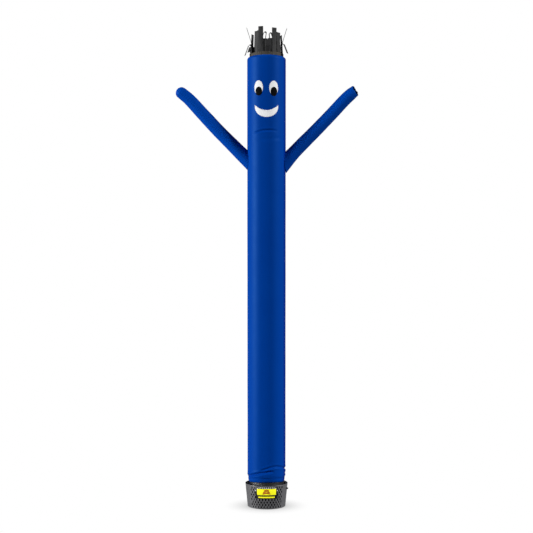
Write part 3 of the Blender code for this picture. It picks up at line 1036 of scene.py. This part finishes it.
def make_patch(name, node, outline, lift, cloth, thread, columns, slot):
    """A sewn-on patch: a thin plate with a soft edge, and a row of stitches round it."""
    rows = 8
    bm = bmesh.new()
    bmesh.ops.create_grid(bm, x_segments=columns, y_segments=rows, size=1.0)
    layer = bm.loops.layers.uv.new("cloth")
    flat = {}
    for vert in bm.verts:
        u = math.sin(math.pi / 2 * vert.co.x)
        bearing, low, high = outline(u)
        v = 0.5 + 0.5 * math.sin(math.pi / 2 * vert.co.y)
        z = low + (high - low) * v
        edge = min(abs(high - z), abs(z - low), (1 - abs(u)) * 0.05)
        crown = PATCH_T * (0.45 + 0.55 * ease(edge / 0.006))
        flat[vert] = (bearing, z, crown)
    for face in bm.faces:
        for loop in face.loops:
            bearing, z, _ = flat[loop.vert]
            loop[layer].uv = (math.radians(bearing) * TUBE_R, z)
    for vert, (bearing, z, crown) in flat.items():
        vert.co = around(tube_radius(bearing, z) + lift + crown, bearing, z)
    face_out(bm)
    under = bmesh.ops.extrude_face_region(bm, geom=list(bm.faces))["geom"]
    for vert in [item for item in under if isinstance(item, bmesh.types.BMVert)]:
        bearing, z = bearing_of(vert.co), vert.co.z
        vert.co = around(tube_radius(bearing, z) + lift, bearing, z)
    bmesh.ops.recalc_face_normals(bm, faces=bm.faces)
    if bm.calc_volume(signed=True) < 0:
        bmesh.ops.reverse_faces(bm, faces=bm.faces)
    points = rim_points(outline, 5 * MM, 8 * MM)
    stitch_row(bm, points, lift + PATCH_T, (5.5 * MM, 1.4 * MM, 0.8 * MM), 1)
    patch = make_object(name, bm, [cloth, thread], 50)
    fit(patch, slot, node)
    return patch


def make_face():
    # the white cloth glows a little: painted light
    white = patch_cloth("white_patch_cloth", (0.84, 0.84, 0.84), (0.90, 0.90, 0.90), 0.3, 0.26)
    black = patch_cloth("black_patch_cloth", (0.001, 0.001, 0.001), (0.003, 0.003, 0.003), 0.04, 0.0)
    white_thread = stitch_thread("white_thread", (0.78, 0.78, 0.78))
    black_thread = stitch_thread("black_thread", (0.012, 0.012, 0.013))
    for side, oval in EYES.items():
        eye = make_patch(
            f"eye_{side}_patch", f"eye_{side}", oval_outline(oval), PATCH_LIFT, white, white_thread, 40,
            "white_patch",
        )
    for side, oval in PUPILS.items():
        pupil = make_patch(
            f"pupil_{side}_patch", f"pupil_{side}", oval_outline(oval), PUPIL_LIFT, black, black_thread, 32,
            "black_patch",
        )
    mouth = make_patch(
        "mouth_patch", "mouth", smile_outline, PATCH_LIFT, white, white_thread, 64, "white_patch"
    )


# ---------------------------------------------------------------- strap, band and hair


def make_strap():
    """Flat webbing round the collar, with a rounded bead along each edge."""
    radius = STRAP_HIGH.x
    low = STRAP_LOW.z
    steps = 10
    profile = []
    for i in range(steps + 1):
        share = i / steps
        bead = math.exp(-((share / 0.12) ** 2)) + math.exp(-(((1 - share) / 0.12) ** 2))
        profile.append((radius - 0.8 * MM + 0.8 * MM * bead, share))
    bm = spun(profile, TUBE_SIDES)
    for vert in bm.verts:
        bearing, share = bearing_of(vert.co), vert.co.z
        high = HEM_Z + hem_rise(bearing) - 0.5 * MM
        vert.co.z = low + (high - low) * share
    wrap_uv(bm, radius)
    strap = make_object("hem_strap_webbing", bm, [webbing()], 60)
    thicken(strap, 1.8 * MM)
    settle(strap)
    fit(strap, "black_cloth", "hem_strap")


def make_band():
    """The gathered band above the tube's top edge, which the streamers are sewn into."""
    low, high = BAND_LOW.z, BAND_HIGH.z
    low_r, high_r = BAND_HIGH.x, BAND_HIGH.x - 1.5 * MM
    steps = 12
    profile = []
    for i in range(steps + 1):
        share = i / steps
        profile.append((low_r + (high_r - low_r) * share, low + (high - low) * share))
    bm = spun(profile, TUBE_SIDES * 2)
    wrap_uv(bm, low_r)
    for vert in bm.verts:
        turn = math.radians(bearing_of(vert.co))
        share = (vert.co.z - low) / (high - low)
        pucker = math.sin(46 * turn + 2.0 * math.sin(3 * turn)) + 0.5 * math.sin(71 * turn)
        tight = math.exp(-(((share - 0.35) / 0.25) ** 2))
        radius = math.hypot(vert.co.x, vert.co.y) - 1.0 * MM * tight
        radius = radius + 0.9 * MM * pucker * (0.4 + share) - 0.8 * MM
        drop = 1.6 * MM * ease(share) * noise.noise(Vector((6 * math.cos(turn), 6 * math.sin(turn), 0.5)))
        vert.co = around(radius, math.degrees(turn), vert.co.z + drop - 0.8 * MM * ease(share))
    band = make_object("head_band_cloth", bm, [band_cloth()], 60)
    thicken(band, CLOTH)
    settle(band)
    fit(band, "black_cloth", "head_band")


def overlap(start, end, low, high):
    """How much of the stretch from low to high lies between start and end, from 0 to 1."""
    return max(0.0, min(end, high) - max(start, low)) / (high - low)


def streamer_frames(row, stations):
    """The middle, the width's direction and the outward direction at each station of a streamer."""
    centre = around(row.root_r, row.bearing, ROOT_Z)
    width = around(1.0, row.bearing + 90, 0.0)
    along = Vector((0, 0, 1))
    step = row.length / stations
    fold_start = row.fold_at - FOLD_LENGTH / 2
    frames = []
    for i in range(stations + 1):
        start, end = (i - 0.5) * step, (i + 0.5) * step
        bend = row.lean * overlap(start, end, ROOT_STRAIGHT, ROOT_STRAIGHT + LEAN_LENGTH)
        bend += row.curl * overlap(start, end, ROOT_STRAIGHT, row.length)
        bend += row.fold * overlap(start, end, fold_start, fold_start + FOLD_LENGTH)
        half_bend = Matrix.Rotation(math.radians(bend / 2), 3, width)
        along = half_bend @ along
        frames.append((centre.copy(), width.copy(), along.cross(width)))
        along = half_bend @ along
        centre = centre + along * step
    return frames


def make_streamer(number, row, cloth):
    stations = round(row.length / STREAMER_STEP)
    across = 8
    frames = streamer_frames(row, stations)
    bm = bmesh.new()
    bmesh.ops.create_grid(bm, x_segments=across, y_segments=stations, size=1.0)
    layer = bm.loops.layers.uv.new("cloth")
    hem = bm.verts.layers.float.new("hem")
    for face in bm.faces:
        for loop in face.loops:
            place = loop.vert.co
            run = (place.y + 1) / 2 * row.length
            loop[layer].uv = (place.x * STREAMER_W / 2 + 0.1 * number, run)
    for vert in bm.verts:
        side = vert.co.x
        station = round((vert.co.y + 1) / 2 * stations)
        run = row.length * station / stations
        centre, width, out = frames[station]
        free = ease((run - ROOT_STRAIGHT) / 0.08)
        cup = 1.6 * MM * (side * side - 0.4) * free
        wave = 1.4 * MM * free * noise.noise(Vector((1.2 * side + 7 * number, 9 * run, 0.3 * number)))
        narrow = 1 - 0.02 * free * noise.noise(Vector((2.0 * number, 12 * run, 4.0)))
        vert[hem] = ease((run - (row.length - HEM_END)) / 0.003)
        vert.co = centre + width * side * narrow * (STREAMER_W / 2 - 0.6 * MM) + out * (cup + wave)
    bmesh.ops.recalc_face_normals(bm, faces=bm.faces)
    streamer = make_object(f"hair_{number:02d}", bm, [cloth], 50)
    thicken(streamer, STREAMER_T, 0.0)
    settle(streamer)
    fit(streamer, "black_cloth", f"streamer_{number:02d}")


def make_hair():
    cloth = black_streamer_cloth()
    for number, row in enumerate(STREAMERS, start=1):
        make_streamer(number, row, cloth)


# ---------------------------------------------------------------- the blower


def drum_radius(z):
    return DRUM_FOOT_R + (DRUM_RIM_R - DRUM_FOOT_R) * z / DRUM_H


def is_hole(column, row, bearing, z):
    """Which cells of the wall are holes: a chequer in the front panel, clear of the label."""
    if abs(bearing) > PANEL_HALF_ANGLE:
        return False
    if abs(bearing) < LABEL_BACK_ANGLE and z > LABEL_BACK_LOW_Z:
        return False
    return (column + row) % 2 == 0


def perforated_wall():
    """The wall is laid out flat, pierced, bent round the cone and then given its thickness."""
    high = DRUM_H - LIP_H
    middle_r = drum_radius(DRUM_H / 2)
    bm = bmesh.new()
    bmesh.ops.create_grid(bm, x_segments=WALL_COLUMNS, y_segments=WALL_ROWS, size=0.5)
    size = Vector((math.tau * middle_r, high - WALL_LOW_Z, 1.0))
    bmesh.ops.scale(bm, vec=size, verts=bm.verts)
    holes = []
    for face in bm.faces:
        centre = face.calc_center_median()
        column = math.floor((centre.x / size.x + 0.5) * WALL_COLUMNS)
        row = math.floor((centre.y / size.y + 0.5) * WALL_ROWS)
        bearing = math.degrees(centre.x / middle_r)
        if is_hole(column, row, bearing, WALL_LOW_Z + centre.y + size.y / 2):
            holes.append(face)
    bmesh.ops.inset_individual(bm, faces=holes, thickness=HOLE_BAR, use_even_offset=True)
    corners = list({vert for face in holes for vert in face.verts})
    bmesh.ops.bevel(
        bm, geom=corners, offset=HOLE_CORNER, segments=1, profile=0.5, affect="VERTICES", material=-1
    )
    pierced = [face for face in bm.faces if len(face.verts) == 8]
    bmesh.ops.delete(bm, geom=pierced, context="FACES")
    for vert in bm.verts:
        z = WALL_LOW_Z + vert.co.y + size.y / 2
        vert.co = around(drum_radius(z), math.degrees(vert.co.x / middle_r), z)
    bmesh.ops.remove_doubles(bm, verts=bm.verts, dist=0.05 * MM)
    face_out(bm)
    bmesh.ops.solidify(bm, geom=list(bm.faces), thickness=WALL_T)
    bm.normal_update()
    for face in bm.faces:
        centre = face.calc_center_median()
        if face.normal.x * centre.x + face.normal.y * centre.y < -0.5 * math.hypot(centre.x, centre.y):
            face.material_index = 1
    return bm


def ring_profile(centre_r, centre_z, half_r, half_z, steps=12):
    """A closed oval profile for a bead."""
    points = []
    for i in range(steps + 1):
        a = math.tau * i / steps
        points.append((centre_r + half_r * math.cos(a), centre_z + half_z * math.sin(a)))
    return points


def turn_out(bm):
    """A closed turned solid with its faces pointing out."""
    bmesh.ops.recalc_face_normals(bm, faces=bm.faces)
    if bm.calc_volume(signed=True) < 0:
        bmesh.ops.reverse_faces(bm, faces=bm.faces)
    return bm


def make_drum(metal, black):
    bm = perforated_wall()
    lip_r = drum_radius(DRUM_H - LIP_H / 2) - WALL_T / 2
    half_lip = DRUM_RIM_R - lip_r
    join_in(bm, turn_out(spun(ring_profile(lip_r, DRUM_H - LIP_H * 0.56, half_lip, LIP_H * 0.56), 120)))
    foot = drum_radius(WALL_LOW_Z)
    dish = [(0.0, 0.0)]
    for i in range(7):
        a = math.radians(15 * i)
        dish.append((foot - WALL_LOW_Z * (1 - math.sin(a)), WALL_LOW_Z * (1 - math.cos(a))))
    dish.append((foot + 0.4 * MM, WALL_LOW_Z + 4 * MM))
    dish.append((foot - WALL_T, WALL_LOW_Z + 4 * MM))
    dish.append((foot - WALL_T - 4 * MM, 6 * MM))
    dish.append((0.0, 6 * MM))
    join_in(bm, turn_out(spun(dish, 120)))
    drum = make_object("drum_perforated", bm, [metal, black], 40)
    fit(drum, "charcoal_plastic", "blower_drum")


def make_deck(plastic):
    """The ring plate in the drum's lip and the collar for the cloth, with a rib round it."""
    outer = DECK_HIGH.x
    low = DECK_LOW.z
    top = DECK_HIGH.z
    wall = 4 * MM
    profile = [
        (COLLAR_R - wall, low),
        (outer, low),
        (outer, PLATE_TOP_Z - 1 * MM),
        (outer - 1 * MM, PLATE_TOP_Z),
        (COLLAR_R + 14 * MM, PLATE_TOP_Z),
        (COLLAR_R + 12 * MM, PLATE_TOP_Z + 2 * MM),
        (COLLAR_R + 6 * MM, PLATE_TOP_Z + 2 * MM),
        (COLLAR_R + 3 * MM, PLATE_TOP_Z + 1 * MM),
        (COLLAR_R, PLATE_TOP_Z + 5 * MM),
        (COLLAR_R, top - 2 * MM),
        (COLLAR_R - 1 * MM, top),
        (COLLAR_R - wall + 1 * MM, top),
        (COLLAR_R - wall, top - 2 * MM),
        (COLLAR_R - wall, low),
    ]
    deck = make_object("deck_and_collar", turn_out(spun(profile, 120)), [plastic], 35)
    fit(deck, "charcoal_plastic", "blower_deck")


def make_fan(steel):
    """Motor can with cooling ribs, shaft, and an impeller with curved blades."""
    low, high = FAN_LOW.z, FAN_HIGH.z
    radius = FAN_HIGH.x
    can_r, groove_r, neck_r, shaft_r = 0.080, 0.074, 0.060, 0.030
    motor = [(0.0, low)]
    ribs = 9
    for i in range(ribs):
        z = low + 8 * MM + 0.014 * i
        motor += [(can_r, z), (can_r, z + 7 * MM), (groove_r, z + 8 * MM), (groove_r, z + 13 * MM)]
    motor += [(neck_r, low + 0.145), (shaft_r, low + 0.150), (shaft_r, low + 0.180), (0.0, low + 0.180)]
    bm = turn_out(spun(motor, 64))
    hub = [(0.0, low + 0.1802), (radius, low + 0.1802), (radius, low + 0.184), (0.070, low + 0.188)]
    hub += [(0.058, high - 4 * MM), (0.050, high), (0.0, high)]
    join_in(bm, turn_out(spun(hub, 64)))
    blades, blade_root_r, sweep_deg = 12, 0.066, 34
    for i in range(blades):
        blade = sliced_cube(6)
        for vert in blade.verts:
            share = vert.co.x + 0.5
            reach = blade_root_r + (radius - 2 * MM - blade_root_r) * share
            turn = 360 / blades * i + sweep_deg * share * share
            out = around(reach, turn, low + 0.203 + 0.030 * (vert.co.z - 0.12 * share * vert.co.z))
            vert.co = out + around(2 * MM * vert.co.y, turn + 90, 0)
        join_in(bm, turn_out(blade))
    fan = make_object("motor_and_fan", bm, [steel], 35)
    fit(fan, "dark_steel", "fan_unit")


def make_bolt(number, rubber):
    """A washer and a domed cap, in the place of its node."""
    name = f"rim_bolt_{number}"
    low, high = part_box(name)
    centre = (low + high) / 2
    upright = centre.z > DRUM_H
    out = Vector((0, 0, 1)) if upright else around(1.0, bearing_of(centre), 0.0)
    head_r, height = 11 * MM, 22 * MM
    profile = [(0.0, 0.0), (head_r, 0.0), (head_r, 2 * MM), (head_r - 1 * MM, 2.4 * MM)]
    profile.append((head_r - 1 * MM, height - 6 * MM))
    for i in range(1, 7):
        a = math.radians(15 * i)
        profile.append(((head_r - 1 * MM) * math.cos(a), height - 6 * MM + 6 * MM * math.sin(a)))
    profile[-1] = (0.0, height)
    bm = turn_out(spun(profile, 28))
    turn = out.to_track_quat("Z", "Y").to_matrix().to_4x4()
    turn.translation = centre - out * height / 2
    bmesh.ops.transform(bm, matrix=turn, verts=bm.verts)
    fit(make_object(f"{name}_head", bm, [rubber], 35), "dark_steel", name)


# ---------------------------------------------------------------- the label's place


def bent_plate(low_z, high_z, half_angle, lift, thickness):
    """A plate with bevelled edges, bent round the drum's front."""
    middle_r = drum_radius((low_z + high_z) / 2)
    bm = sliced_cube(40)
    size = Vector((2 * math.radians(half_angle) * middle_r, thickness, high_z - low_z))
    bmesh.ops.scale(bm, vec=size, verts=bm.verts)
    rim = [e for e in bm.edges if e.is_manifold and e.calc_face_angle() > 1.0]
    bmesh.ops.bevel(
        bm, geom=rim, offset=0.3 * MM, segments=2, profile=0.5, affect="EDGES", material=-1
    )
    for vert in bm.verts:
        z = (low_z + high_z) / 2 + vert.co.z
        out = lift + thickness / 2 - vert.co.y
        vert.co = around(drum_radius(z) + out, math.degrees(vert.co.x / middle_r), z)
    return turn_out(bm)


def chevron(bm, base_z, half_width, rise, band, lift, slot):
    """A plain arrow head that points up, as a bent band on the plate."""
    thickness = 0.5 * MM
    for side in (-1, 1):
        part = sliced_cube(6)
        for vert in part.verts:
            share = vert.co.x + 0.5
            z = base_z + rise * (1 - share) + band * (vert.co.z + 0.5)
            out = drum_radius(z) + lift + thickness * (0.5 - vert.co.y)
            vert.co = around(out, side * math.degrees(half_width * share / LABEL_R), z)
        bmesh.ops.remove_doubles(part, verts=part.verts, dist=0.01 * MM)
        use_slot(part, slot)
        join_in(bm, turn_out(part))


def make_label():
    # the yellow film and the white dots glow a little: painted light
    yellow = printed("label_yellow", (0.92, 0.88, 0.008), (0.98, 0.95, 0.014), 0.50)
    red = printed("label_red", (0.60, 0.010, 0.016), (0.70, 0.016, 0.026))
    white = printed("label_white", (0.82, 0.82, 0.82), (0.90, 0.90, 0.90), 0.25)
    film = printed("label_film", (0.010, 0.010, 0.014), (0.018, 0.018, 0.024))
    low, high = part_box("label_plate")
    bm = bent_plate(low.z, high.z, LABEL_HALF_ANGLE, LABEL_LIFT, LABEL_T)
    backing = bent_plate(LABEL_BACK_LOW_Z, DRUM_H - LIP_H - 1 * MM, LABEL_BACK_ANGLE, 0.1 * MM, 0.4 * MM)
    use_slot(backing, FILM_SLOT)
    join_in(bm, backing)
    height = high.z - low.z
    for i in range(3):
        base_z = low.z + height * (0.10 + 0.25 * i)
        chevron(bm, base_z, 0.048 - 0.008 * i, 0.012, 0.014, 1.9 * MM, RED_SLOT)
    for i in range(DOTS):
        across = 2 * i / (DOTS - 1) - 1
        dot = bmesh.new()
        bmesh.ops.create_cone(
            dot, cap_ends=True, segments=16, radius1=7 * MM, radius2=6.4 * MM, depth=1.0 * MM
        )
        bearing = DOT_HALF_ANGLE * across
        z = high.z + 0.014 - DOT_ARCH * across**8
        turn = around(1.0, bearing, 0.0).to_track_quat("Z", "Y").to_matrix().to_4x4()
        turn.translation = around(drum_radius(z) + 1.2 * MM, bearing, z)
        bmesh.ops.transform(dot, matrix=turn, verts=dot.verts)
        use_slot(dot, WHITE_SLOT)
        join_in(bm, turn_out(dot))
    plate = make_object("label_plate_plain", bm, [yellow, red, white, film], 35)
    fit(plate, "yellow_plate", "label_plate")
    low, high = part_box("label_bar")
    strip = bent_plate(low.z, high.z, BAR_HALF_ANGLE, LABEL_LIFT, LABEL_T)
    bar = make_object("label_bar_plain", strip, [yellow], 35)
    fit(bar, "yellow_plate", "label_bar")


# ---------------------------------------------------------------- stage, lights and camera


def seen_or_lit(tree, seen, lit, out):
    """Shows the camera one shader, and lights everything else with the other."""
    path = tree.nodes.new("ShaderNodeLightPath")
    mix = tree.nodes.new("ShaderNodeMixShader")
    tree.links.new(path.outputs["Is Camera Ray"], mix.inputs[0])
    tree.links.new(lit.outputs[0], mix.inputs[1])
    tree.links.new(seen.outputs[0], mix.inputs[2])
    tree.links.new(mix.outputs[0], out.inputs["Surface"])


def make_floor():
    """A wide pale floor that is as bright as the background, with a soft shade where things stand."""
    bm = bmesh.new()
    bmesh.ops.create_grid(bm, x_segments=1, y_segments=1, size=60.0)
    bmesh.ops.translate(bm, verts=bm.verts, vec=(0, 0, CAD_BOX[0].z - 0.5 * MM))
    mat = bpy.data.materials.new("studio_floor")
    mat.use_nodes = True
    tree = mat.node_tree
    tree.nodes.clear()
    shade = tree.nodes.new("ShaderNodeAmbientOcclusion")
    shade.inputs["Distance"].default_value = FLOOR_SHADE_REACH
    shade.samples = 12
    ramp = tree.nodes.new("ShaderNodeMapRange")
    ramp.inputs["From Min"].default_value = 0.35
    ramp.inputs["From Max"].default_value = 0.97
    ramp.inputs["To Min"].default_value = 0.52
    ramp.inputs["To Max"].default_value = 1.0
    seen = tree.nodes.new("ShaderNodeEmission")
    bounce = tree.nodes.new("ShaderNodeEmission")
    bounce.inputs["Strength"].default_value = FLOOR_BOUNCE
    tree.links.new(shade.outputs["AO"], ramp.inputs["Value"])
    tree.links.new(ramp.outputs["Result"], seen.inputs["Strength"])
    seen_or_lit(tree, seen, bounce, tree.nodes.new("ShaderNodeOutputMaterial"))
    floor = make_object("floor", bm, [mat])


def make_world():
    """White to look at, and a dim even light on everything."""
    world = bpy.data.worlds.new("studio")
    bpy.context.scene.world = world
    world.use_nodes = True
    tree = world.node_tree
    tree.nodes.clear()
    seen = tree.nodes.new("ShaderNodeBackground")
    seen.inputs["Color"].default_value = (1, 1, 1, 1)
    light = tree.nodes.new("ShaderNodeBackground")
    light.inputs["Color"].default_value = (0.85, 0.90, 1.0, 1)
    light.inputs["Strength"].default_value = WORLD_LIGHT
    seen_or_lit(tree, seen, light, tree.nodes.new("ShaderNodeOutputWorld"))


def make_lights(arms):
    """Broad soft lights from both sides, so that the front of each round shape is its darkest.

    The tube would shade the arms from them, so the arms have a light of their own.
    """
    for row in LIGHTS:
        data = bpy.data.lights.new(row.name, "SUN")
        data.energy = row.strength
        data.angle = math.radians(row.soft_deg)
        lamp = bpy.data.objects.new(row.name, data)
        flat = math.cos(math.radians(row.elevation))
        source = around(flat, row.bearing, math.sin(math.radians(row.elevation)))
        lamp.rotation_mode = "QUATERNION"
        lamp.rotation_quaternion = source.to_track_quat("Z", "Y")
        lamp.location = source * 10
        bpy.context.scene.collection.objects.link(lamp)
        if row.name == "arm_fill":
            lit = bpy.data.collections.new("lit_by_arm_fill")
            for arm in arms:
                lit.objects.link(arm)
            lamp.light_linking.receiver_collection = lit


def make_camera():
    data = bpy.data.cameras.new("camera")
    data.lens = CAMERA_LENS
    data.clip_end = 200
    camera = bpy.data.objects.new("camera", data)
    camera.location = CAMERA_PLACE
    camera.rotation_euler = (math.radians(90), 0, 0)
    bpy.context.scene.collection.objects.link(camera)
    bpy.context.scene.camera = camera
    bpy.context.scene.view_settings.view_transform = "Standard"


def main():
    make_camera()
    make_world()
    make_floor()
    nylon = blue_nylon("blue_nylon", 1.0)
    # painted shade for the inside of the arms: the same blue at a quarter of its brightness
    inside = blue_nylon("blue_nylon_inside", 0.25)
    steel = dark_steel()
    make_tube(nylon)
    make_lights(make_arms([nylon, inside]))
    make_face()
    black = moulded("black_rubber", (0.004, 0.004, 0.004), (0.009, 0.009, 0.009), 0.15)
    make_deck(moulded("deck_plastic", (0.040, 0.039, 0.038), (0.070, 0.068, 0.066)))
    make_strap()
    make_band()
    make_hair()
    make_drum(drum_metal(), black)
    make_fan(steel)
    for number in (1, 2, 3):
        make_bolt(number, black)
    make_label()


main()
